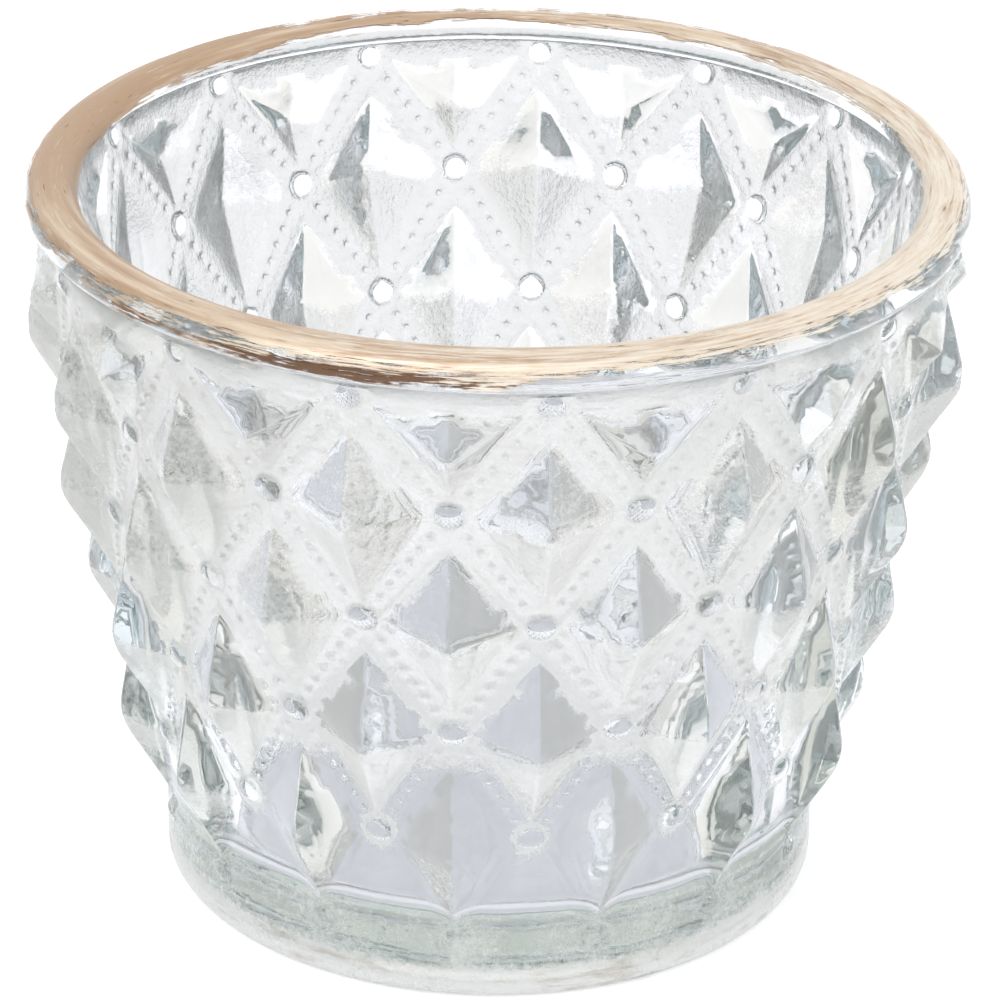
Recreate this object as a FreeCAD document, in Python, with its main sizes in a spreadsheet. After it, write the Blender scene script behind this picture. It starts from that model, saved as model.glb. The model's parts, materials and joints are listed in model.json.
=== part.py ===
"""Tealight holder: a pressed-glass cup with a gilt rim.

The cup is a tapered tumbler whose outside is pressed into a lattice of flat bands.
Round studs stand on the crossings of the bands, and a faceted pyramid fills each
diamond between them. A film of gold paint is wrapped over the rounded lip.
Millimetres, +Z up, origin at the centre of the face that the cup stands on.
"""
import FreeCAD, Part
import math
import os
import Sketcher
from FreeCAD import Vector

SIZES = {
    "total_height": 72.5,      # standing face to the top of the gilt lip
    "lip_radius": 45.0,        # outside of the gilt lip
    "lip_width": 5.2,          # glass and film together, across the lip
    "lip_round": 2.4,          # rounding of the lip's two top edges, over the film
    "film": 0.2,               # gold film over the glass
    "film_skirt": 2.6,         # how far the film comes down from the top
    "bead_height": 3.0,        # plain lip above the groove
    "groove_height": 0.65,     # from the bead down to the bottom of the groove
    "groove_radius": 43.5,     # at the bottom of the groove
    "shoulder_height": 68.3,   # where the patterned cone starts
    "shoulder_radius": 43.85,
    "toe_height": 7.9,         # where the patterned cone ends
    "toe_radius": 32.0,
    "foot_radius": 32.2,
    "foot_height": 7.7,
    "foot_round": 1.2,
    "standing_radius": 27.0,   # inner edge of the ring that the cup stands on
    "hollow_radius": 25.0,     # flat of the hollow underside
    "hollow_height": 0.8,
    "floor_height": 7.5,       # top of the thick glass floor
    "floor_radius": 28.0,
    "floor_round": 4.0,
    "studs_around": 15,
    "first_row_height": 67.5,  # height of the top row of studs
    "first_row_gap": 11.8,     # from the top row of studs to the second
    "row_gap": 12.3,           # between the other rows
    "stud_radius": 1.4,
    "stud_rise": 0.7,          # studs over the bands
    "band_width": 2.5,         # flat band between two pyramids
    "border_height": 66.9,     # upper edge of the pattern
    "tall_rise": 3.9,          # pyramids between the first and third rows, over the bands
    "rise_step": 0.25,         # each row of pyramids below is lower by this
    "apex_drop": 0.8,          # how far their tips are below the middle of the diamond
    "drop_step": 0.25,         # each row of pyramids below has its tips lower by this
    "half_rise": 2.35,         # half pyramids under the border
    "half_apex_height": 62.0,
    "corner_drop": 1.2,        # how far their upper and lower corners are below the lattice's
    "corner_depth": 0.15,      # pyramids' corners under the band surface
    "root_depth": 2.4,         # how far each pyramid reaches into the wall
}
STUD_ROWS = 6


def make_sheet(doc):
    """Put the driving dimensions in the document's spreadsheet."""
    sheet = doc.addObject("Spreadsheet::Sheet", "sizes")
    for line, (name, value) in enumerate(SIZES.items(), start=1):
        sheet.set(f"A{line}", name)
        sheet.set(f"B{line}", str(value))
        sheet.setAlias(f"B{line}", name)
    doc.recompute()
    return sheet


def origin_part(body, role):
    """The body's own origin plane or axis with this role."""
    return next(item for item in body.Origin.OriginFeatures if item.Role == role)


def revolved_body(doc, name, corners):
    """A body turned about Z from a closed outline of straight sides.

    Each corner is a (radius, height) pair of expressions on the sheet; None is zero.
    """
    body = doc.addObject("PartDesign::Body", name)
    sketch = body.newObject("Sketcher::SketchObject", name + "_outline")
    sketch.AttachmentSupport = [(origin_part(body, "XZ_Plane"), "")]
    sketch.MapMode = "FlatFace"
    count = len(corners)
    turn = 2 * math.pi / count
    loose = [Vector(50 + 9 * math.cos(turn * i), 50 + 9 * math.sin(turn * i), 0) for i in range(count)]
    for index in range(count):
        sketch.addGeometry(Part.LineSegment(loose[index], loose[(index + 1) % count]), False)
    for index in range(count):
        sketch.addConstraint(Sketcher.Constraint("Coincident", index, 2, (index + 1) % count, 1))
    for index, (radius, height) in enumerate(corners):
        for size, kind, axis in ((radius, "DistanceX", -2), (height, "DistanceY", -1)):
            if size is None:
                sketch.addConstraint(Sketcher.Constraint("PointOnObject", index, 1, axis))
            else:
                place = sketch.addConstraint(Sketcher.Constraint(kind, -1, 1, index, 1, 50.0))
                sketch.setExpression(f"Constraints[{place}]", size)
    solid = body.newObject("PartDesign::Revolution", name + "_turned")
    solid.Profile = sketch
    solid.ReferenceAxis = (origin_part(body, "Z_Axis"), [""])
    solid.Angle = 360.0
    sketch.Visibility = False
    doc.recompute()
    return body


def round_edge(doc, body, radius, height, size):
    """Round the body's circular edge of this radius and height by a size on the sheet."""
    base = body.Tip
    edges = []
    for number, edge in enumerate(base.Shape.Edges, start=1):
        if isinstance(edge.Curve, Part.Circle):
            off = abs(edge.Curve.Radius - radius) + abs(edge.Curve.Center.z - height)
            if off < 1e-4:
                edges.append(f"Edge{number}")
    rounding = body.newObject("PartDesign::Fillet", body.Name + "_round")
    rounding.Base = (base, edges)
    rounding.setExpression("Radius", size)
    doc.recompute()


def make_blank(doc, sheet):
    """The cup before its pattern: wall, lip, groove, foot and hollow underside."""
    top = "sizes.total_height - sizes.film"
    outer = "sizes.lip_radius - sizes.film"
    inner = "sizes.lip_radius - sizes.lip_width + sizes.film"
    under_bead = "sizes.total_height - sizes.bead_height"
    blank = revolved_body(doc, "cup_blank", [
        (None, "sizes.hollow_height"),
        ("sizes.hollow_radius", "sizes.hollow_height"),
        ("sizes.standing_radius", None),
        ("sizes.foot_radius", None),
        ("sizes.foot_radius", "sizes.foot_height"),
        ("sizes.toe_radius", "sizes.toe_height"),
        ("sizes.shoulder_radius", "sizes.shoulder_height"),
        ("sizes.groove_radius", under_bead + " - sizes.groove_height"),
        (outer, under_bead),
        (outer, top),
        (inner, top),
        ("sizes.floor_radius", "sizes.floor_height"),
        (None, "sizes.floor_height"),
    ])
    glass_top = sheet.total_height - sheet.film
    glass_lip = "sizes.lip_round - sizes.film"
    round_edge(doc, blank, sheet.lip_radius - sheet.film, glass_top, glass_lip)
    round_edge(doc, blank, sheet.lip_radius - sheet.lip_width + sheet.film, glass_top, glass_lip)
    round_edge(doc, blank, sheet.floor_radius, sheet.floor_height, "sizes.floor_round")
    round_edge(doc, blank, sheet.foot_radius, 0.0, "sizes.foot_round")
    return blank


def make_lip_ring(doc, sheet):
    """The outside of the gold film, still solid where the glass lip fills it."""
    inner = "sizes.lip_radius - sizes.lip_width"
    bottom = "sizes.total_height - sizes.film_skirt"
    ring = revolved_body(doc, "lip_ring", [
        (inner, bottom),
        ("sizes.lip_radius", bottom),
        ("sizes.lip_radius", "sizes.total_height"),
        (inner, "sizes.total_height"),
    ])
    round_edge(doc, ring, sheet.lip_radius, sheet.total_height, "sizes.lip_round")
    round_edge(doc, ring, sheet.lip_radius - sheet.lip_width, sheet.total_height, "sizes.lip_round")
    return ring


class Lattice:
    """Places on the cone of bands, worked out from the sheet."""

    def __init__(self, sheet):
        self.sheet = sheet
        self.step = 360.0 / sheet.studs_around
        self.slope = (sheet.shoulder_radius - sheet.toe_radius) / (
            sheet.shoulder_height - sheet.toe_height)
        second = sheet.first_row_height - sheet.first_row_gap
        self.rows = [sheet.first_row_height]
        self.rows += [second - sheet.row_gap * row for row in range(STUD_ROWS - 1)]

    def band_radius(self, height):
        """Radius of the band surface, down to the upright foot."""
        cone = self.sheet.toe_radius + self.slope * (height - self.sheet.toe_height)
        return max(cone, self.sheet.foot_radius) if height < self.sheet.foot_height else cone

    def point(self, degrees, height, rise=0.0):
        """The point at this angle and height, this far outside the band surface."""
        angle = math.radians(degrees - 90)
        radius = self.band_radius(height) + rise
        return Vector(radius * math.cos(angle), radius * math.sin(angle), height)

    def inset(self, height, gap):
        """How much of a lattice cell is left inside half a band all round."""
        across = math.radians(self.step / 2) * self.band_radius(height)
        to_side = across * gap / math.hypot(across, gap)
        return 1 - self.sheet.band_width / 2 / to_side


def pyramid(apex, root, corners):
    """A solid with a facet from each side of the corners' ring to the apex and the root."""
    faces = []
    for index, corner in enumerate(corners):
        following = corners[(index + 1) % len(corners)]
        for triangle in ((corner, following, apex), (following, corner, root)):
            faces.append(Part.Face(Part.makePolygon(triangle + triangle[:1])))
    solid = Part.Solid(Part.Shell(faces))
    if solid.Volume < 0:
        solid.reverse()
    return solid


def half_pyramid(lattice, degrees):
    """A half pyramid under the border, between two studs of the top row."""
    sheet = lattice.sheet
    sunk = -sheet.corner_depth
    low_row = lattice.rows[1]
    gap = lattice.rows[0] - low_row
    left = lattice.inset(low_row, gap)
    tip = lattice.rows[0] - gap * left
    half_top = lattice.step / 2 * (sheet.border_height - tip) / gap
    corners = [
        lattice.point(degrees - half_top, sheet.border_height, sunk),
        lattice.point(degrees, sheet.border_height, sunk),
        lattice.point(degrees + half_top, sheet.border_height, sunk),
        lattice.point(degrees, tip, sunk),
    ]
    apex = lattice.point(degrees, sheet.half_apex_height, sheet.half_rise)
    root = lattice.point(degrees, sheet.half_apex_height, -sheet.root_depth)
    return pyramid(apex, root, corners)


def full_pyramid(lattice, degrees, row):
    """A pyramid centred on a row of studs, halfway between two of them."""
    sheet = lattice.sheet
    sunk = -sheet.corner_depth
    middle = lattice.rows[row]
    above = lattice.rows[row - 1] - middle
    below = middle - lattice.rows[row + 1]
    left = lattice.inset(middle, below)
    corners = [
        lattice.point(degrees, middle + above * left - sheet.corner_drop, sunk),
        lattice.point(degrees + lattice.step / 2 * left, middle, sunk),
        lattice.point(degrees, middle - below * left - sheet.corner_drop, sunk),
        lattice.point(degrees - lattice.step / 2 * left, middle, sunk),
    ]
    tip = middle - sheet.apex_drop - sheet.drop_step * (row - 1)
    apex = lattice.point(degrees, tip, sheet.tall_rise - sheet.rise_step * (row - 1))
    root = lattice.point(degrees, tip, -sheet.root_depth)
    return pyramid(apex, root, corners)


def make_pyramid(doc, lattice, degrees, row):
    """The pyramid of this row, as a solid that the wall is fused with."""
    feature = doc.addObject("Part::Feature", "pyramid")
    feature.Shape = full_pyramid(lattice, degrees, row) if row else half_pyramid(lattice, degrees)
    return feature


def make_stud(doc, lattice, degrees, height):
    """A ball sunk in the band surface, of which a low round button shows."""
    sheet = lattice.sheet
    ball = doc.addObject("Part::Sphere", "stud")
    ball.setExpression("Radius", "(sizes.stud_radius^2 + sizes.stud_rise^2) / (2 * sizes.stud_rise)")
    radius = (sheet.stud_radius ** 2 + sheet.stud_rise ** 2) / (2 * sheet.stud_rise)
    centre = lattice.point(degrees, height, sheet.stud_rise - radius)
    outward = Vector(centre.x, centre.y, 0)
    ball.Placement = FreeCAD.Placement(centre, FreeCAD.Rotation(Vector(0, 0, 1), outward))
    return ball


def make_relief(doc, sheet):
    """The pyramids and studs of the pressed pattern."""
    lattice = Lattice(sheet)
    relief = []
    for column in range(int(sheet.studs_around)):
        for row, height in enumerate(lattice.rows):
            # Odd rows of studs stand half a step round from even ones.
            on_stud = lattice.step * (column + 0.5 * (row % 2))
            relief.append(make_stud(doc, lattice, on_stud, height))
            if row < STUD_ROWS - 1:
                between = on_stud + lattice.step / 2
                relief.append(make_pyramid(doc, lattice, between, row))
    return relief


def check(doc, nodes):
    """Stop if anything in the document failed or a node is not one sound solid."""
    for item in doc.Objects:
        if "Invalid" in item.State or "Error" in item.State:
            raise RuntimeError(f"{item.Name} is {item.State}")
    for node in nodes:
        shape = node.Shape
        if shape.isNull() or not shape.isValid() or len(shape.Solids) != 1:
            raise RuntimeError(f"{node.Label} is not one sound solid")
        box = shape.BoundBox
        print(f"{node.Label}: {shape.Volume:.0f} mm3, {box.XLength:.2f} x {box.YLength:.2f} "
              f"x {box.ZLength:.2f}, {len(shape.Faces)} faces")


def main():
    doc = FreeCAD.newDocument("tealight_holder")
    sheet = make_sheet(doc)
    blank = make_blank(doc, sheet)
    ring = make_lip_ring(doc, sheet)

    glass = doc.addObject("Part::MultiFuse", "glass_cup")
    glass.Label = "glass_cup"
    glass.Shapes = [blank] + make_relief(doc, sheet)

    gilt = doc.addObject("Part::Cut", "gilt_rim")
    gilt.Label = "gilt_rim"
    gilt.Base = ring
    gilt.Tool = blank

    doc.recompute()
    nodes = [glass, gilt]
    for node in nodes:
        node.Placement = FreeCAD.Placement()
    check(doc, nodes)
    os.makedirs("parts", exist_ok=True)
    for node in nodes:
        node.Shape.exportStep(os.path.join("parts", node.Label + ".step"))


main()
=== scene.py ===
import json
import math

import bmesh
import bpy
import numpy as np
from mathutils import Matrix, Vector, noise
from mathutils.geometry import delaunay_2d_cdt


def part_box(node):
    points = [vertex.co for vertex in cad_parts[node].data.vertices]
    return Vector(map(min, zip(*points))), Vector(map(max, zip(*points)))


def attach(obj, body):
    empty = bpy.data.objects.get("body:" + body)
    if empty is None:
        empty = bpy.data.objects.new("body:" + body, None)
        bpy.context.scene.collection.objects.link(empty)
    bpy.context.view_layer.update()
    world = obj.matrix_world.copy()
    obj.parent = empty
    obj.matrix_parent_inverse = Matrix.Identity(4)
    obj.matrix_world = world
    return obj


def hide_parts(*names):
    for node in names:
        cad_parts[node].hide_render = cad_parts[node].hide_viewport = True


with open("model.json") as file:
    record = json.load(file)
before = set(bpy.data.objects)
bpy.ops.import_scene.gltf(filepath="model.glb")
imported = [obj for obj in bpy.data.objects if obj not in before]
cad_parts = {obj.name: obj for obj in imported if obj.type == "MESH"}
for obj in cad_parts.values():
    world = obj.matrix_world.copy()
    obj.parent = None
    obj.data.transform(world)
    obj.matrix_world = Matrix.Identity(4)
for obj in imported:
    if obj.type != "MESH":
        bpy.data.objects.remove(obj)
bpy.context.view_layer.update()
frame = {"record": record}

# ---------------------------------------------------------------------------
# Sizes, in millimetres and degrees. The overall ones come from the frame.
# ---------------------------------------------------------------------------
MM = 0.001
GILT_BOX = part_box("gilt_rim")
MOUNTS = {mount["name"]: mount for mount in frame["record"]["mounts"]}

TOP = GILT_BOX[1][2] / MM                    # top of the gilt lip
LIP_RADIUS = GILT_BOX[1][0] / MM             # outside of the gilt lip
FLOOR = MOUNTS["tealight_seat"]["pos_m"][2] / MM
FILM = 0.2
LIP_WIDTH = 5.2
LIP_ROUND = 2.4
FLOOR_RADIUS = 28.0
FLOOR_ROUND = 4.0
FOOT_RADIUS = 32.2
FOOT_ROUND = 1.2
STANDING_RADIUS = 27.0
HOLLOW_RADIUS = 25.0
HOLLOW_HEIGHT = 0.8

STUDS_AROUND = 15
HALF_STEP = 180.0 / STUDS_AROUND             # angle from a stud to the next row's stud
SEGMENTS = 8                                 # of each half step, on the plain rings
ROWS = [67.5, 55.7, 43.4, 31.1, 18.8, 6.5]   # heights of the rows of studs
TOE = (32.0, 7.9)                            # radius and height where the cone starts
FOOT_TAPER = 0.2                             # how much the foot narrows up to the cone
FOOT_TAPER_LOW = 6.5
SHOULDER = (43.85, 68.3)                     # and where it ends
PATTERN_LOW = 3.0
PATTERN_HIGH = 68.6
BORDER = 66.9
TIPS = [62.0, 54.9, 42.35, 29.8, 17.25]      # heights of the pyramids' tips, from the top row
RISES = [2.35, 3.9, 3.65, 3.4, 3.15]         # and how far they stand over the bands
BAND = 2.5                                   # width of the flat bands between the pyramids
CORNER_DROP = 1.2                            # of upper and lower corners, below the lattice's
STUD_RADII = [1.25, 1.45, 1.45, 1.45, 1.4, 1.0]
STUD_RISES = [0.65, 0.9, 0.9, 0.9, 0.85, 0.4]
STUD_MOAT = 0.06                             # dip round each stud
DOTS = 6                                     # on a band, between one stud and the next
DOT_SPACING = 1.75
DOT_RADIUS = 0.43
DOT_RISE = 0.32
LINE_RISE = 0.17                             # of the raised line round each pyramid
LINE_WIDTH = 0.24
RIDGE_SOFTNESS = 0.4                         # of the upright ridges
TIP_SOFTNESS = 1.6                           # between upper and lower facets
HALF_TIP_SOFTNESS = 0.6                      # the same, on the half pyramids of the top row
PYRAMID_BLEND = 0.12                         # where a pyramid meets the bands
GROOVE = [(43.62, 68.8), (43.6, 68.95), (43.8, 69.12), (44.35, 69.35), (44.7, 69.6)]

WASH_ABOVE = [-0.05, 0.42, 0.26, -0.12, -0.25]   # white wash on each row's upper facets
WASH_BELOW = [0.75, 0.80, 0.85, 0.90, 0.25]      # and on its lower ones
WASH_BANDS = 0.95
WASH_BASE = 0.5
WASH_FOOT = 0.85
WASH_ROUND_STUDS = 0.9
WASH_PATCHY = 0.22                               # how far single facets differ
WASH_SIDE = 0.14                                 # more on the left than on the right
WASH_LEFT = 0.4                                  # and more still at the far left


# ---------------------------------------------------------------------------
# The pressed pattern, as a radius for every angle and height
# ---------------------------------------------------------------------------
def band_radius(z):
    """Radius of the flat bands, down to the upright foot."""
    slope = (SHOULDER[0] - TOE[0]) / (SHOULDER[1] - TOE[1])
    cone = TOE[0] + slope * (z - TOE[1])
    taper = FOOT_TAPER * np.clip((z - FOOT_TAPER_LOW) / (TOE[1] - FOOT_TAPER_LOW), 0, 1)
    return np.maximum(cone, FOOT_RADIUS - taper)


def smooth_min(a, b, size):
    """The smaller of two values, with the corner between them rounded off."""
    blend = np.maximum(size - np.abs(a - b), 0.0) / size
    return np.minimum(a, b) - blend * blend * size / 4


def smooth_max(a, b, size):
    return -smooth_min(-a, -b, size)


def on_band(angle, z, rise=0.0):
    """The point at this angle from the front and this height, rise outside the bands."""
    turn = math.radians(angle)
    radius = float(band_radius(np.array(z))) + rise
    return np.array([radius * math.sin(turn), -radius * math.cos(turn), z])


def facet_radius(corners, angle, z):
    """Radius at which the plane of three corners is met, for arrays of angle and height."""
    a, b, c = corners
    normal = np.cross(b - a, c - a)
    turn = np.radians(angle)
    along = normal[0] * np.sin(turn) - normal[1] * np.cos(turn)
    return (normal @ a - normal[2] * z) / along


def cell_inset(row_z, gap):
    """How much of a lattice cell half a band all round leaves."""
    across = math.radians(HALF_STEP) * float(band_radius(np.array(row_z)))
    to_side = across * gap / math.hypot(across, gap)
    return 1 - BAND / 2 / to_side


def stud_angle(row):
    """Angle of the row's stud inside the half step that is modelled."""
    return 0.0 if row % 2 == 0 else HALF_STEP


class Diamond:
    """A pyramid of the pattern: its outline on the bands and its facets."""

    def __init__(self, row):
        self.centre = HALF_STEP - stud_angle(row)
        if row == 0:
            gap = ROWS[0] - ROWS[1]
            inset = cell_inset(ROWS[1], gap)
            tip = ROWS[0] - gap * inset
            half = HALF_STEP * (BORDER - tip) / gap
            ring = [(-half, BORDER), (0, BORDER), (half, BORDER), (0, tip)]
        else:
            middle = ROWS[row]
            above = ROWS[row - 1] - middle
            below = middle - ROWS[row + 1]
            inset = cell_inset(middle, (above + below) / 2)
            half = HALF_STEP * inset
            ring = [(-half, middle), (0, middle + above * inset - CORNER_DROP),
                    (half, middle), (0, middle - below * inset - CORNER_DROP)]
        self.softness = TIP_SOFTNESS if row else HALF_TIP_SOFTNESS
        self.tip = (self.centre, TIPS[row])
        self.apex = on_band(*self.tip, RISES[row] + (self.softness + RIDGE_SOFTNESS) / 4)
        self.row = row
        self.outline = [(self.centre + angle, z) for angle, z in ring]
        self.corners = [on_band(angle, z) for angle, z in self.outline]

    def radius(self, angle, z):
        """The pyramid's surface, softened along its ridges."""
        facets = []
        for index, corner in enumerate(self.corners):
            following = self.corners[(index + 1) % len(self.corners)]
            facets.append(facet_radius((corner, following, self.apex), angle, z))
        left = smooth_min(facets[0], facets[3], self.softness)
        right = smooth_min(facets[1], facets[2], self.softness)
        return smooth_min(left, right, RIDGE_SOFTNESS)

    def sides(self):
        """Each side of the outline, as its two ends."""
        return [(end, self.outline[(index + 1) % len(self.outline)])
                for index, end in enumerate(self.outline)]


DIAMONDS = [Diamond(row) for row in range(len(ROWS) - 1)]


def distance_to_segment(angle, z, start, end):
    """How far angle and z are from a segment on the bands, in millimetres."""
    scale = np.radians(1.0) * band_radius(z)
    ax, az = (start[0] - angle) * scale, start[1] - z
    bx, bz = (end[0] - angle) * scale, end[1] - z
    dx, dz = bx - ax, bz - az
    share = np.clip(-(ax * dx + az * dz) / (dx * dx + dz * dz), 0, 1)
    return np.hypot(ax + share * dx, az + share * dz)


def distance_to_point(angle, z, place):
    scale = np.radians(1.0) * band_radius(z)
    return np.hypot((angle - place[0]) * scale, z - place[1])


def dot_places():
    """Centres of the tiny dots between studs, in the half step that is modelled."""
    places = []
    for row in range(len(ROWS) - 2):
        start = np.array([stud_angle(row), ROWS[row]])
        end = np.array([stud_angle(row + 1), ROWS[row + 1]])
        radius = float(band_radius(np.array((start[1] + end[1]) / 2)))
        length = math.hypot(math.radians(HALF_STEP) * radius, start[1] - end[1])
        for index in range(DOTS):
            share = 0.5 + (index - (DOTS - 1) / 2) * DOT_SPACING / length
            places.append(tuple(start + (end - start) * share))
    return places


DOT_PLACES = dot_places()
STUD_PLACES = [(stud_angle(row), z) for row, z in enumerate(ROWS)]


def surface_radius(angle, z):
    """The outside of the glass over the pattern, for arrays of angle and height."""
    bands = band_radius(z)
    radius = bands
    outline = np.full_like(bands, 9.0)
    for diamond in DIAMONDS:
        radius = smooth_max(radius, diamond.radius(angle, z), PYRAMID_BLEND)
        for start, end in diamond.sides():
            outline = np.minimum(outline, distance_to_segment(angle, z, start, end))
    radius = radius + LINE_RISE * np.exp(-(outline / LINE_WIDTH) ** 2)
    for place in DOT_PLACES:
        share = distance_to_point(angle, z, place) / DOT_RADIUS
        radius = radius + DOT_RISE * np.clip(1 - share ** 2, 0, None)
    for place, size, rise in zip(STUD_PLACES, STUD_RADII, STUD_RISES):
        away = distance_to_point(angle, z, place)
        button = rise * np.clip(1 - (away / size) ** 2, 0, None) ** 0.7
        moat = STUD_MOAT * np.exp(-((away - size * 1.18) / 0.22) ** 2)
        radius = radius + button - moat
    return radius


# ---------------------------------------------------------------------------
# Points for the mesh of one half step, close together only where the shape turns
# ---------------------------------------------------------------------------
ACROSS = math.radians(1.0) * 38.0             # millimetres per degree, for spacing only


class Points:
    """Points in the half step, none closer to an earlier one than asked."""

    def __init__(self):
        self.kept = []

    def add(self, angle, z, apart):
        if not -1e-9 <= angle <= HALF_STEP + 1e-9:
            return
        if not PATTERN_LOW + apart <= z <= PATTERN_HIGH - apart:
            return
        edge = 0.45 * apart
        if angle * ACROSS < edge:
            angle = 0.0
        if (HALF_STEP - angle) * ACROSS < edge:
            angle = HALF_STEP
        place = np.array([angle * ACROSS, z])
        if self.kept:
            gap = np.array(self.kept) - place
            if (gap * gap).sum(axis=1).min() < apart * apart:
                return
        self.kept.append(place)

    def circle(self, place, radius, count, apart):
        for index in range(count):
            turn = 2 * math.pi * index / count
            angle = place[0] + radius * math.sin(turn) / ACROSS
            self.add(angle, place[1] + radius * math.cos(turn), apart)

    def line(self, start, end, offset, step, apart):
        start = np.array([start[0] * ACROSS, start[1]])
        end = np.array([end[0] * ACROSS, end[1]])
        run = end - start
        length = np.hypot(*run)
        side = np.array([-run[1], run[0]]) / length * offset
        count = max(int(round(length / step)), 1)
        for index in range(count + 1):
            spot = start + run * index / count + side
            self.add(spot[0] / ACROSS, spot[1], apart)


def pattern_points():
    """Points round the studs and dots, along the ridges and outlines, then a grid between."""
    points = Points()
    for index in range(SEGMENTS + 1):
        for z in (PATTERN_LOW, PATTERN_HIGH):
            points.kept.append(np.array([HALF_STEP * index / SEGMENTS * ACROSS, z]))
    for place, size in zip(STUD_PLACES, STUD_RADII):
        points.add(*place, 0.1)
        for share, count in ((0.4, 10), (0.75, 16), (0.93, 20), (1.02, 22), (1.25, 22)):
            points.circle(place, size * share, count, 0.1)
    for place in DOT_PLACES:
        points.add(*place, 0.1)
        points.circle(place, DOT_RADIUS * 0.6, 6, 0.1)
        points.circle(place, DOT_RADIUS * 1.02, 8, 0.1)
    for diamond in DIAMONDS:
        points.add(*diamond.tip, 0.1)
        for corner in diamond.outline:
            for offset in (0, 0.22, -0.22):
                points.line(diamond.tip, corner, offset, 0.9, 0.19)
        for start, end in diamond.sides():
            for offset in (0, 0.3, -0.3):
                points.line(start, end, offset, 0.85, 0.24)
    pitch = 1.15
    drop = pitch * 0.87
    rows = int((PATTERN_HIGH - PATTERN_LOW) / drop)
    for row in range(rows + 1):
        z = PATTERN_LOW + row * drop
        for column in range(int(HALF_STEP * ACROSS / pitch) + 2):
            across = (column + 0.5 * (row % 2)) * pitch / ACROSS
            points.add(across, z, 0.62)
    return np.array(points.kept)


def half_step_mesh():
    """Angles, heights and triangles of one half step of the pattern."""
    points = pattern_points()
    found = delaunay_2d_cdt([Vector(p) for p in points], [], [], 0, 1e-5)
    spots = np.array([tuple(v) for v in found[0]])
    faces = np.array([face for face in found[2] if len(face) == 3])
    return spots[:, 0] / ACROSS, spots[:, 1], faces


class MeshMaker:
    """Vertices and faces that are joined into one closed mesh."""

    def __init__(self):
        self.vertices = []
        self.faces = []
        self.count = 0

    def add(self, vertices, faces):
        start = self.count
        self.vertices.append(np.asarray(vertices, float))
        self.faces += [tuple(int(i) + start for i in face) for face in faces]
        self.count += len(vertices)

    def make(self, name, weld):
        mesh = bpy.data.meshes.new(name)
        mesh.from_pydata((np.vstack(self.vertices) * MM).tolist(), [], self.faces)
        thing = bpy.data.objects.new(name, mesh)
        bpy.context.scene.collection.objects.link(thing)
        shape = bmesh.new()
        shape.from_mesh(mesh)
        bmesh.ops.remove_doubles(shape, verts=shape.verts, dist=weld * MM)
        bmesh.ops.recalc_face_normals(shape, faces=shape.faces)
        for face in shape.faces:
            face.smooth = True
        shape.to_mesh(mesh)
        shape.free()
        return thing


def polar(angle, radius, z):
    turn = np.radians(angle)
    return np.stack([radius * np.sin(turn), -radius * np.cos(turn), z], axis=1)


def arc(centre, size, start, end, count):
    """Points on an arc in the plane of radius and height, from one angle to another."""
    turns = np.radians(np.linspace(start, end, count))
    return [(centre[0] + size * math.cos(t), centre[1] + size * math.sin(t)) for t in turns]


def add_rings(maker, profile, closed_centre):
    """Plain rings through the profile's points, and a fan to the axis at its last point."""
    count = 2 * STUDS_AROUND * SEGMENTS
    angles = np.arange(count) * 360.0 / count
    vertices = [polar(angles, np.full(count, r), np.full(count, z)) for r, z in profile]
    faces = []
    for ring in range(len(profile) - 1):
        for index in range(count):
            following = (index + 1) % count
            faces.append((ring * count + index, ring * count + following,
                          (ring + 1) * count + following, (ring + 1) * count + index))
    stacked = np.vstack(vertices)
    if closed_centre is not None:
        stacked = np.vstack([stacked, [[0, 0, closed_centre]]])
        last = (len(profile) - 1) * count
        for index in range(count):
            faces.append((last + index, last + (index + 1) % count, len(stacked) - 1))
    maker.add(stacked, faces)


def glass_profiles():
    """The plain rings above and below the pattern, as points of radius and height."""
    top = TOP - FILM
    outer = LIP_RADIUS - FILM
    inner = LIP_RADIUS - LIP_WIDTH + FILM
    size = LIP_ROUND - FILM
    edge = float(band_radius(np.array(PATTERN_HIGH)))
    upper = [(edge, PATTERN_HIGH)] + GROOVE
    upper += arc((outer - size, top - size), size, 0, 90, 9)
    upper += arc((inner + size, top - size), size, 90, 180, 9)
    slope = (inner - FLOOR_RADIUS) / (top - FLOOR)
    lean = math.degrees(math.atan(slope))
    back = FLOOR_ROUND * math.tan(math.radians((90 - lean) / 2))
    centre = (FLOOR_RADIUS - back, FLOOR + FLOOR_ROUND)
    wall_low = FLOOR + FLOOR_ROUND - FLOOR_ROUND * math.sin(math.radians(lean))
    start = upper[-1]
    heights = np.linspace(start[1], wall_low, 40)[1:-1]
    upper += [(inner - slope * (top - z), z) for z in heights]
    upper += arc(centre, FLOOR_ROUND, -lean, -90, 9)
    upper += [(r, FLOOR) for r in (20.0, 15.0, 10.0, 5.0)]
    lower = [(FOOT_RADIUS, PATTERN_LOW), (FOOT_RADIUS, 2.2)]
    lower += arc((FOOT_RADIUS - FOOT_ROUND, FOOT_ROUND), FOOT_ROUND, 0, -90, 8)
    lower += [(29.0, 0.0), (STANDING_RADIUS, 0.0), (26.4, 0.25), (25.7, 0.6),
              (HOLLOW_RADIUS, HOLLOW_HEIGHT), (20.0, HOLLOW_HEIGHT), (12.0, HOLLOW_HEIGHT),
              (5.0, HOLLOW_HEIGHT)]
    return upper, lower


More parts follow.
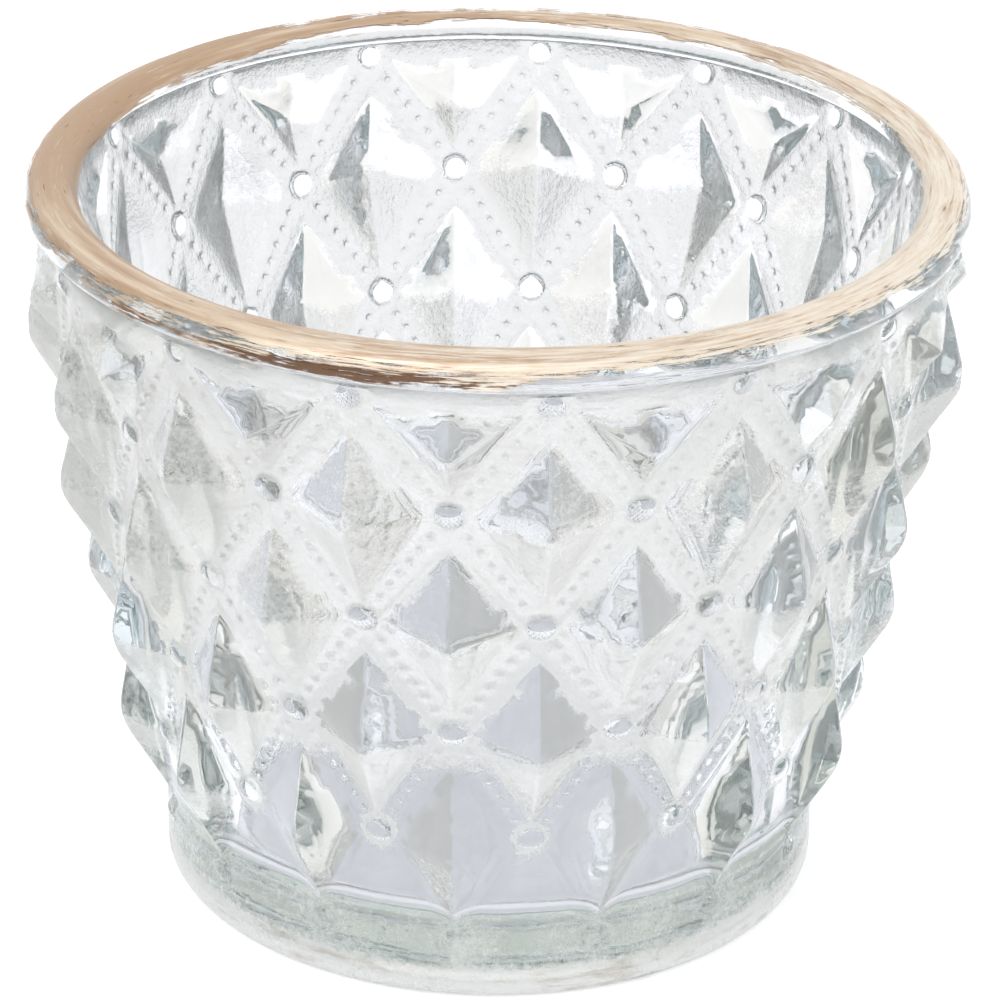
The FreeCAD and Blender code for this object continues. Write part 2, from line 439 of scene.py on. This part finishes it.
def waver(thing):
    """Let the pressed outside wander a little, as it does on glass from a worn mould."""
    for vertex in thing.data.vertices:
        spot = vertex.co / MM
        radius = math.hypot(spot.x, spot.y)
        if radius < float(band_radius(np.array(spot.z))) - 1.0 or spot.z > 69.0:
            continue
        low_share = min(max((spot.z - 1.0) / 3.0, 0.0), 1.0)
        high_share = min(max((69.0 - spot.z) / 2.0, 0.0), 1.0)
        push = 0.085 * noise.noise(spot / 5.5) + 0.035 * noise.noise(spot / 1.9 + Vector((9, 0, 0)))
        push = min(push * (low_share * high_share), LIP_RADIUS - 0.02 - radius)
        vertex.co.x *= 1 + push / radius
        vertex.co.y *= 1 + push / radius


def make_glass():
    angle, z, faces = half_step_mesh()
    radius = surface_radius(angle, z)
    maker = MeshMaker()
    for step in range(STUDS_AROUND):
        start = 2 * HALF_STEP * step
        maker.add(polar(start + angle, radius, z), faces)
        maker.add(polar(start - angle, radius, z), faces[:, ::-1])
    upper, lower = glass_profiles()
    add_rings(maker, upper, FLOOR)
    add_rings(maker, lower, HOLLOW_HEIGHT)
    glass = maker.make("pressed_glass_cup", 0.01)
    waver(glass)
    return glass


glass = make_glass()


# ---------------------------------------------------------------------------
# The gilt film over the lip
# ---------------------------------------------------------------------------
def brush_spot(turn, level=0.0):
    """A place in noise that wanders slowly round the lip and joins up with itself."""
    return Vector((math.sin(turn) * 4, -math.cos(turn) * 4, level))


def gold_edges(turn):
    """Where the gold ends at this angle from the front, as leans of the lip's surface.

    A lean is 0 on the lip's outside, 90 on top and 180 on its inside.
    """
    ragged = noise.noise(brush_spot(turn) * 1.3) + 0.5 * noise.noise(brush_spot(turn, 7.0) * 6.0)
    side = math.sin(turn)
    back = (0.5 - 0.5 * math.cos(turn)) ** 4
    outside = 28 + 11 * side + 9 * side ** 2 + 66 * back + 12 * ragged
    inside = 162 - 12 * side - 30 * back + 9 * noise.noise(brush_spot(turn, 3.0) * 3.1)
    return outside, inside


def dark_reflection_share(turn, lean):
    """How much painted dark reflection the gold shows: low on the lip's front, left of the middle.
    """
    degrees = (math.degrees(turn) + 180) % 360 - 180
    around = math.exp(-((degrees + 20) / 20) ** 2) + 0.55 * math.exp(-((degrees + 55) / 20) ** 2)
    around += 0.35 * max(noise.noise(brush_spot(turn, 11.0) * 1.7), 0.0)
    return min(around, 1.0) * math.exp(-((lean - 2) / 26) ** 2)


def worn_share(turn, lean):
    """How far the brush left the gold streaky: on the front's left, over the lip's shoulder."""
    degrees = (math.degrees(turn) + 180) % 360 - 180
    return 0.6 * math.exp(-((degrees + 48) / 34) ** 2) * math.exp(-((lean - 30) / 20) ** 2)


def make_gilt():
    """A thin closed shell over the lip. Its material leaves bare what the brush missed."""
    count = 720
    rows = 40
    low, high = -24.0, 176.0
    size = LIP_ROUND
    outer = LIP_RADIUS - size
    inner = LIP_RADIUS - LIP_WIDTH + size
    level = TOP - size
    shells, brush, coat, painted_dark_reflection = [], [], [], []
    for depth in (0.0, FILM * 0.9):
        for index in range(rows):
            lean = low + (high - low) * index / (rows - 1)
            centre = outer if lean <= 90 else inner
            bend = math.radians(max(lean, 0.0))
            drop = math.radians(max(-lean, 0.0)) * size
            radius = centre + (size - depth) * math.cos(bend)
            z = level + (size - depth) * math.sin(bend) - drop
            for step in range(count):
                turn = 2 * math.pi * step / count
                outside, inside = gold_edges(turn)
                shells.append((radius * math.sin(turn), -radius * math.cos(turn), z))
                brush.append(tuple(brush_spot(turn, lean / 90)))
                coat.append(min(lean - outside, 1.6 * (inside - lean)) / 30 - worn_share(turn, lean))
                # painted reflection of the dark surroundings, low on the lip's front left
                painted_dark_reflection.append(dark_reflection_share(turn, lean))
    faces = []

    def join(first, second, flip):
        for step in range(count):
            following = (step + 1) % count
            quad = (first + step, first + following, second + following, second + step)
            faces.append(quad[::-1] if flip else quad)

    for row in range(rows - 1):
        join(row * count, (row + 1) * count, False)
        join((rows + row) * count, (rows + row + 1) * count, True)
    join(0, rows * count, True)
    join((rows - 1) * count, (2 * rows - 1) * count, False)
    maker = MeshMaker()
    maker.add(shells, faces)
    gilt = maker.make("gilt_film", 0.0001)
    for name, kind, field, values in (("brush", "FLOAT_VECTOR", "vector", brush),
                                      ("coat", "FLOAT", "value", coat),
                                      ("painted_dark_reflection", "FLOAT", "value", painted_dark_reflection)):
        layer = gilt.data.attributes.new(name, kind, "POINT")
        layer.data.foreach_set(field, np.array(values, float).ravel())
    return gilt


# ---------------------------------------------------------------------------
# Materials
# ---------------------------------------------------------------------------
class Nodes:
    """A short way to build a material's node tree."""

    def __init__(self, name):
        self.material = bpy.data.materials.new(name)
        self.material.use_nodes = True
        self.tree = self.material.node_tree
        self.tree.nodes.clear()
        self.output = self.tree.nodes.new("ShaderNodeOutputMaterial")

    def add(self, kind, **inputs):
        node = self.tree.nodes.new(kind)
        for name, value in inputs.items():
            self.set(node, name, value)
        return node

    def set(self, node, name, value):
        """Link or set the input with this name, or with this number after an i."""
        by_number = name[0] == "i" and name[1:].isdigit()
        socket = node.inputs[int(name[1:]) if by_number else name]
        if isinstance(value, bpy.types.NodeSocket):
            self.tree.links.new(value, socket)
        else:
            socket.default_value = value

    def math(self, operation, first, second=0.0, third=0.0):
        node = self.add("ShaderNodeMath", i0=first, i1=second, i2=third)
        node.operation = operation
        return node.outputs[0]

    def noise(self, coordinates, scale, detail=2.0, roughness=0.5):
        node = self.add("ShaderNodeTexNoise", Vector=coordinates, Scale=scale, Detail=detail,
                        Roughness=roughness)
        return node.outputs["Fac"]

    def attribute(self, name, output="Fac"):
        node = self.add("ShaderNodeAttribute")
        node.attribute_name = name
        return node.outputs[output]

    def step(self, value, low, high, out_low=0.0, out_high=1.0):
        node = self.add("ShaderNodeMapRange", Value=value)
        node.interpolation_type = "SMOOTHSTEP"
        for name, number in (("From Min", low), ("From Max", high),
                             ("To Min", out_low), ("To Max", out_high)):
            node.inputs[name].default_value = number
        return node.outputs[0]

    def mix_colour(self, share, first, second):
        node = self.add("ShaderNodeMix")
        node.data_type = "RGBA"
        for name, value in (("i0", share), ("i6", first), ("i7", second)):
            self.set(node, name, value)
        return node.outputs[2]

    def finish(self, surface, volume=None):
        self.tree.links.new(surface, self.output.inputs["Surface"])
        if volume is not None:
            self.tree.links.new(volume, self.output.inputs["Volume"])
        return self.material


def glass_material():
    """Clear, faintly tinted glass under a patchy white wash, stained where the foot is, with painted
    shade in its tint.
    """
    n = Nodes("pressed_glass_white_wash")
    place = n.add("ShaderNodeTexCoord").outputs["Object"]
    wash = n.attribute("wash")
    patches = n.noise(place, 130.0, 4.0, 0.6)
    specks = n.noise(place, 1400.0, 3.0, 0.7)
    mixed = n.math("ADD", wash, n.math("MULTIPLY_ADD", patches, 1.1, -0.55))
    mixed = n.math("ADD", mixed, n.math("MULTIPLY_ADD", specks, 0.8, -0.4))
    cover = n.step(mixed, 0.32, 0.85, 0.0, 0.72)
    bump = n.add("ShaderNodeBump", Strength=0.08, Distance=0.0005,
                 Height=n.noise(place, 260.0, 3.0, 0.5))
    glass = n.add("ShaderNodeBsdfPrincipled", Roughness=0.02, IOR=1.5, Normal=bump.outputs[0])
    # painted shade: the glass tint turns dark beige on one side of each pyramid and low on the cup
    n.set(glass, "Base Color",
          n.mix_colour(n.attribute("glass_tint_and_painted_shade"), (0.62, 0.60, 0.52, 1), (0.955, 0.955, 0.99, 1)))
    glass.inputs["Transmission Weight"].default_value = 1.0
    grain = n.add("ShaderNodeBump", Strength=0.7, Distance=0.0004, Height=specks)
    white = n.add("ShaderNodeBsdfPrincipled", Roughness=0.4, IOR=1.5, Normal=grain.outputs[0])
    flat = n.add("ShaderNodeVectorMath", i0=place, i1=(1.0, 1.0, 5.0))
    flat.operation = "MULTIPLY"
    smears = n.noise(flat.outputs[0], 180.0, 5.0, 0.65)
    stained = n.math("MULTIPLY", n.step(smears, 0.5, 0.68), n.attribute("stain"))
    n.set(white, "Base Color",
          n.mix_colour(stained, (0.945, 0.935, 0.90, 1), (0.64, 0.57, 0.48, 1)))
    white.inputs["Transmission Weight"].default_value = 0.6
    both = n.add("ShaderNodeMixShader", i0=cover, i1=glass.outputs[0], i2=white.outputs[0])
    tint = n.add("ShaderNodeVolumeAbsorption", Density=32.0)
    tint.inputs["Color"].default_value = (0.83, 0.89, 0.895, 1)
    return n.finish(both.outputs[0], tint.outputs[0])


def gilt_material():
    """Streaky gold paint, with a painted dark reflection low on the front and painted highlight
    streaks, lighter towards the right and front, bare where the brush missed.
    """
    n = Nodes("brushed_gold_paint")
    place = n.attribute("brush", "Vector")
    stretched = n.add("ShaderNodeVectorMath", i0=place, i1=(1.0, 1.0, 7.0))
    stretched.operation = "MULTIPLY"
    along = stretched.outputs[0]
    broad = n.noise(along, 0.5, 3.0, 0.5)
    streaks = n.noise(along, 2.2, 6.0, 0.68)
    hairs = n.noise(along, 9.0, 3.0, 0.6)
    split = n.add("ShaderNodeSeparateXYZ", i0=place)
    # painted light: the lighter gold tone grows towards the right and front, over a random streaky
    # tone
    side = n.math("SUBTRACT", split.outputs[0], n.math("MULTIPLY_ADD", split.outputs[1], 0.6, 0.6))
    light = n.math("ADD", broad, n.math("MULTIPLY", side, 0.032))
    colour = n.mix_colour(n.step(light, 0.33, 0.66), (0.50, 0.345, 0.23, 1), (0.77, 0.64, 0.50, 1))
    # painted highlight: cream streaks, more of them towards the right and front
    pale = n.math("ADD", streaks, n.math("MULTIPLY", side, 0.024))
    colour = n.mix_colour(n.step(pale, 0.46, 0.68, 0.0, 0.8), colour, (0.89, 0.84, 0.75, 1))
    colour = n.mix_colour(n.step(hairs, 0.56, 0.72, 0.0, 0.35), colour, (0.42, 0.27, 0.17, 1))
    # painted reflection of the dark surroundings: dark brown low on the lip's front, left of the
    # middle
    under = n.math("ADD", n.attribute("painted_dark_reflection"), n.math("MULTIPLY_ADD", streaks, -3.0, 1.5))
    colour = n.mix_colour(n.step(under, 0.38, 0.58), colour, (0.17, 0.095, 0.055, 1))
    bump = n.add("ShaderNodeBump", Strength=0.3, Distance=0.0002, Height=streaks)
    gold = n.add("ShaderNodeBsdfPrincipled", Metallic=0.6, Normal=bump.outputs[0],
                 Roughness=n.step(streaks, 0.2, 0.8, 0.30, 0.48))
    n.set(gold, "Base Color", colour)
    hold = n.math("ADD", n.attribute("coat"), n.math("MULTIPLY", n.attribute("painted_dark_reflection"), 1.25))
    hold = n.math("ADD", hold, n.math("MULTIPLY_ADD", streaks, 4.5, -2.25))
    hold = n.math("ADD", hold, n.math("MULTIPLY_ADD", hairs, 0.8, -0.4))
    bare = n.add("ShaderNodeBsdfTransparent")
    shown = n.add("ShaderNodeMixShader", i0=n.step(hold, -0.06, 0.10), i1=bare.outputs[0],
                  i2=gold.outputs[0])
    return n.finish(shown.outputs[0])


def floor_material():
    """A pale sheet that glows a little, as a light table does."""
    n = Nodes("pale_light_table")
    shade = n.add("ShaderNodeBsdfPrincipled", Roughness=0.9)
    shade.inputs["Base Color"].default_value = (0.76, 0.765, 0.79, 1)
    shade.inputs["Emission Color"].default_value = (0.97, 0.98, 1.0, 1)
    shade.inputs["Emission Strength"].default_value = 0.46
    return n.finish(shade.outputs[0])


def fade(value, low, high):
    """A smooth step from 0 at low to 1 at high."""
    share = np.clip((value - low) / (high - low), 0, 1)
    return share * share * (3 - 2 * share)


def paint_wash(thing):
    """Store how much white wash each vertex holds, its stain, and the glass tint that carries
    painted shade.

    The wash fills the bands and the pyramids' undersides. It is thin low on the cup and on
    the facets that look up, and the foot's edge is white all round. The tint is painted shade:
    one of the two sides of each pyramid, left or right, is darker than the other, and so is the
    glass low on the cup.
    """
    mesh = thing.data
    count = len(mesh.vertices)
    spots = np.empty(count * 3)
    mesh.vertices.foreach_get("co", spots)
    spots = spots.reshape(-1, 3) / MM
    radius = np.hypot(spots[:, 0], spots[:, 1])
    around = np.degrees(np.arctan2(spots[:, 0], -spots[:, 1]))
    angle = around % (2 * HALF_STEP)
    angle = np.where(angle > HALF_STEP, 2 * HALF_STEP - angle, angle)
    z = spots[:, 2]
    wash = WASH_BANDS * fade(z, 23.0, 31.0)
    # painted shade: the glass tint is darker low on the cup
    glass_tint_and_painted_shade = 0.25 + 0.55 * fade(z, 8.5, 10.5)
    random = np.random.RandomState(11)
    for diamond, above, below in zip(DIAMONDS, WASH_ABOVE, WASH_BELOW):
        inside = diamond.radius(angle, z) > band_radius(z) + 0.05
        lower = fade(diamond.tip[1] - z, -0.5, 0.7)
        column = np.round((around - diamond.centre) / (2 * HALF_STEP)).astype(int)
        right = (around - diamond.centre > 2 * HALF_STEP * column).astype(int)
        facet = (column % STUDS_AROUND, right, (lower > 0.5).astype(int))
        patchy = WASH_PATCHY * random.uniform(-1, 1, (STUDS_AROUND, 2, 2))[facet]
        wash = np.where(inside, above + (below - above) * lower + patchy, wash)
        # painted shade: one side of each pyramid, more often the right, gets a much darker tint;
        # otherwise the tint varies at random
        tones = random.uniform(0.8, 1.0, (STUDS_AROUND, 2))
        shaded_side = random.choice([0, 1, 1], STUDS_AROUND)
        tones[np.arange(STUDS_AROUND), shaded_side] -= 0.75
        glass_tint_and_painted_shade = np.where(inside, tones[facet[:2]], glass_tint_and_painted_shade)
    for place, size in zip(STUD_PLACES, STUD_RADII):
        away = distance_to_point(angle, z, place) / size
        wash = np.where(away < 0.9, 0.0, wash)
        wash = np.where((away > 0.9) & (away < 1.35) & (z > 12), WASH_ROUND_STUDS, wash)
    side = np.sin(np.radians(around)) * fade(z, 8.0, 20.0)
    wash = wash - WASH_SIDE * side * (wash > 0.02) + WASH_LEFT * fade(-side, 0.35, 0.85)
    wash = np.maximum(wash, WASH_BASE * (1 - fade(z, 9.0, 10.5)))
    foot = 1 - fade(z, 3.0, 4.2)
    wash = np.maximum(wash, WASH_FOOT * foot)
    outer = (radius > band_radius(z) - 1.0) & (z > 0.02) & (z < 68.9)
    stain = np.clip(foot + 0.25 * fade(z, 45.0, 60.0) * (around < 0), 0, 1)
    for name, values in (("wash", np.where(outer, wash, 0.0)), ("stain", stain),
                         ("glass_tint_and_painted_shade", np.where(outer, glass_tint_and_painted_shade, 0.9))):
        layer = mesh.attributes.new(name, "FLOAT", "POINT")
        layer.data.foreach_set("value", values)


paint_wash(glass)
glass.data.materials.append(glass_material())
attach(glass, "root")
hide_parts("glass_cup")

gilt = make_gilt()
gilt.data.materials.append(gilt_material())
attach(gilt, "root")
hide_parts("gilt_rim")


# ---------------------------------------------------------------------------
# Floor, light and camera
# ---------------------------------------------------------------------------
def make_floor():
    bpy.ops.mesh.primitive_circle_add(vertices=96, radius=1.6, fill_type="NGON", location=(0, 0, 0))
    floor = bpy.context.object
    floor.name = "studio_floor"
    floor.data.materials.append(floor_material())


def make_world():
    """Soft white light from all round, dimmer low on the left."""
    world = bpy.data.worlds.new("studio")
    bpy.context.scene.world = world
    world.use_nodes = True
    nodes = world.node_tree.nodes
    links = world.node_tree.links
    where = nodes.new("ShaderNodeTexCoord")
    split = nodes.new("ShaderNodeSeparateXYZ")
    links.new(where.outputs["Generated"], split.inputs[0])
    shares = []
    for axis, low, high in (("X", -0.25, -0.8), ("Z", 0.7, 0.2)):
        share = nodes.new("ShaderNodeMapRange")
        share.interpolation_type = "SMOOTHSTEP"
        share.inputs["From Min"].default_value = low
        share.inputs["From Max"].default_value = high
        links.new(split.outputs[axis], share.inputs["Value"])
        shares.append(share.outputs[0])
    both = nodes.new("ShaderNodeMath")
    both.operation = "MULTIPLY"
    mix = nodes.new("ShaderNodeMix")
    mix.data_type = "RGBA"
    mix.inputs[6].default_value = (1, 0.995, 0.985, 1)
    mix.inputs[7].default_value = (0.45, 0.45, 0.42, 1)
    links.new(shares[0], both.inputs[0])
    links.new(shares[1], both.inputs[1])
    links.new(both.outputs[0], mix.inputs[0])
    links.new(mix.outputs[2], nodes["Background"].inputs["Color"])
    nodes["Background"].inputs["Strength"].default_value = 1.04


def area_light(name, place, target, size, power):
    data = bpy.data.lights.new(name, "AREA")
    data.shape = "DISK"
    data.size = size
    data.energy = power
    lamp = bpy.data.objects.new(name, data)
    lamp.location = place
    lamp.rotation_euler = (Vector(target) - Vector(place)).to_track_quat("-Z", "Y").to_euler()
    bpy.context.scene.collection.objects.link(lamp)


CAMERA_ELEVATION = 22.375
CAMERA_AZIMUTH = -6.56        # the camera stands this far left of the front stud column
CAMERA_DISTANCE = 11.184      # in units of the pattern's scale
SCALE = LIP_RADIUS / 1.02
FOCAL = 5.1935                # image widths per unit of slope
RIM_LEVEL = TOP - 0.0165 * SCALE
AIM_YAW, AIM_PITCH, AIM_ROLL = -0.0011826, -0.0628389, -0.0157760


def make_camera():
    """The camera, far off with a long lens, aimed a little below the lip."""
    lift = math.radians(CAMERA_ELEVATION)
    reach = CAMERA_DISTANCE * SCALE * MM
    place = Vector((0, -reach * math.cos(lift), RIM_LEVEL * MM + reach * math.sin(lift)))
    forward = Vector((0, math.cos(lift), -math.sin(lift)))
    right = Vector((1, 0, 0))
    up = right.cross(forward)
    turn = Matrix.Rotation(AIM_YAW, 3, up)
    forward, right = turn @ forward, turn @ right
    turn = Matrix.Rotation(AIM_PITCH, 3, right)
    forward, up = turn @ forward, turn @ up
    turn = Matrix.Rotation(AIM_ROLL, 3, forward)
    right, up = turn @ right, turn @ up
    basis = Matrix((right, up, -forward)).transposed().to_4x4()
    around = Matrix.Rotation(math.radians(CAMERA_AZIMUTH), 4, "Z")
    data = bpy.data.cameras.new("camera")
    data.sensor_width = 36.0
    data.lens = FOCAL * 36.0
    data.clip_start = 0.01
    camera = bpy.data.objects.new("camera", data)
    camera.matrix_world = around @ Matrix.Translation(place) @ basis
    bpy.context.scene.collection.objects.link(camera)
    bpy.context.scene.camera = camera


make_floor()
make_world()
make_camera()
area_light("key", (-0.5, -0.6, 0.9), (0, 0, 0.04), 0.6, 3.0)

scene = bpy.context.scene
scene.view_settings.view_transform = "Standard"
scene.cycles.max_bounces = 32
scene.cycles.transmission_bounces = 28
scene.cycles.glossy_bounces = 12
scene.cycles.transparent_max_bounces = 32
scene.cycles.caustics_refractive = True
scene.cycles.caustics_reflective = False
